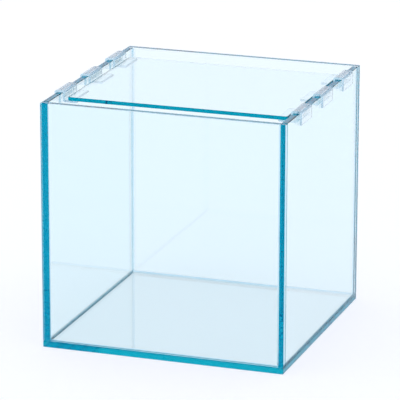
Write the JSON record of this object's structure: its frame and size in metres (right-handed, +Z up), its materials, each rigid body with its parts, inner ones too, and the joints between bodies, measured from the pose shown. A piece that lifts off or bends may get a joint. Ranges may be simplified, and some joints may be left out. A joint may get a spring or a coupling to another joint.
{
  "type": "rimless glass aquarium tank",
  "caption": "Rimless cube aquarium of bonded clear glass sheets with a drop-in glass lid carried on clear plastic clips hooked over the side rims.",
  "frame": {"origin": "middle of the footprint, on the surface that the tank stands on", "axes": "+Z up, +X to the right of a person looking at the front sheet, +Y towards the back"},
  "size_m": [0.2038, 0.2, 0.2018],
  "materials": {
    "tank_glass": "polished clear float glass, teal through the edges",
    "lid_glass": "polished clear float glass, teal through the edges",
    "clear_silicone": "clear aquarium silicone, satin",
    "clip_plastic": "clear glossy plastic"
  },
  "bodies": {
    "tank": {"base_panel": "tank_glass", "front_panel": "tank_glass", "back_panel": "tank_glass", "left_panel": "tank_glass", "right_panel": "tank_glass", "silicone_base_front": "clear_silicone", "silicone_base_back": "clear_silicone", "silicone_base_left": "clear_silicone", "silicone_base_right": "clear_silicone", "silicone_corner_front_left": "clear_silicone", "silicone_corner_front_right": "clear_silicone", "silicone_corner_back_left": "clear_silicone", "silicone_corner_back_right": "clear_silicone"},
    "lid": {"lid_glass": "lid_glass"},
    "clip_left_front": {"lid_clip_left_front": "clip_plastic"},
    "clip_left_middle": {"lid_clip_left_middle": "clip_plastic"},
    "clip_left_back": {"lid_clip_left_back": "clip_plastic"},
    "clip_right_front": {"lid_clip_right_front": "clip_plastic"},
    "clip_right_middle": {"lid_clip_right_middle": "clip_plastic"},
    "clip_right_back": {"lid_clip_right_back": "clip_plastic"}
  },
  "joints": [
    {"name": "lid_lift", "type": "slide", "parent": "tank", "child": "lid", "axis": [0, 0, 1], "range_m": [0, 0.12]},
    {"name": "clip_left_front_slide", "type": "slide", "parent": "tank", "child": "clip_left_front", "axis": [0, 1, 0], "range_m": [-0.012, 0.012]},
    {"name": "clip_left_middle_slide", "type": "slide", "parent": "tank", "child": "clip_left_middle", "axis": [0, 1, 0], "range_m": [-0.012, 0.012]},
    {"name": "clip_left_back_slide", "type": "slide", "parent": "tank", "child": "clip_left_back", "axis": [0, 1, 0], "range_m": [-0.012, 0.012]},
    {"name": "clip_right_front_slide", "type": "slide", "parent": "tank", "child": "clip_right_front", "axis": [0, 1, 0], "range_m": [-0.012, 0.012]},
    {"name": "clip_right_middle_slide", "type": "slide", "parent": "tank", "child": "clip_right_middle", "axis": [0, 1, 0], "range_m": [-0.012, 0.012]},
    {"name": "clip_right_back_slide", "type": "slide", "parent": "tank", "child": "clip_right_back", "axis": [0, 1, 0], "range_m": [-0.012, 0.012]}
  ]
}
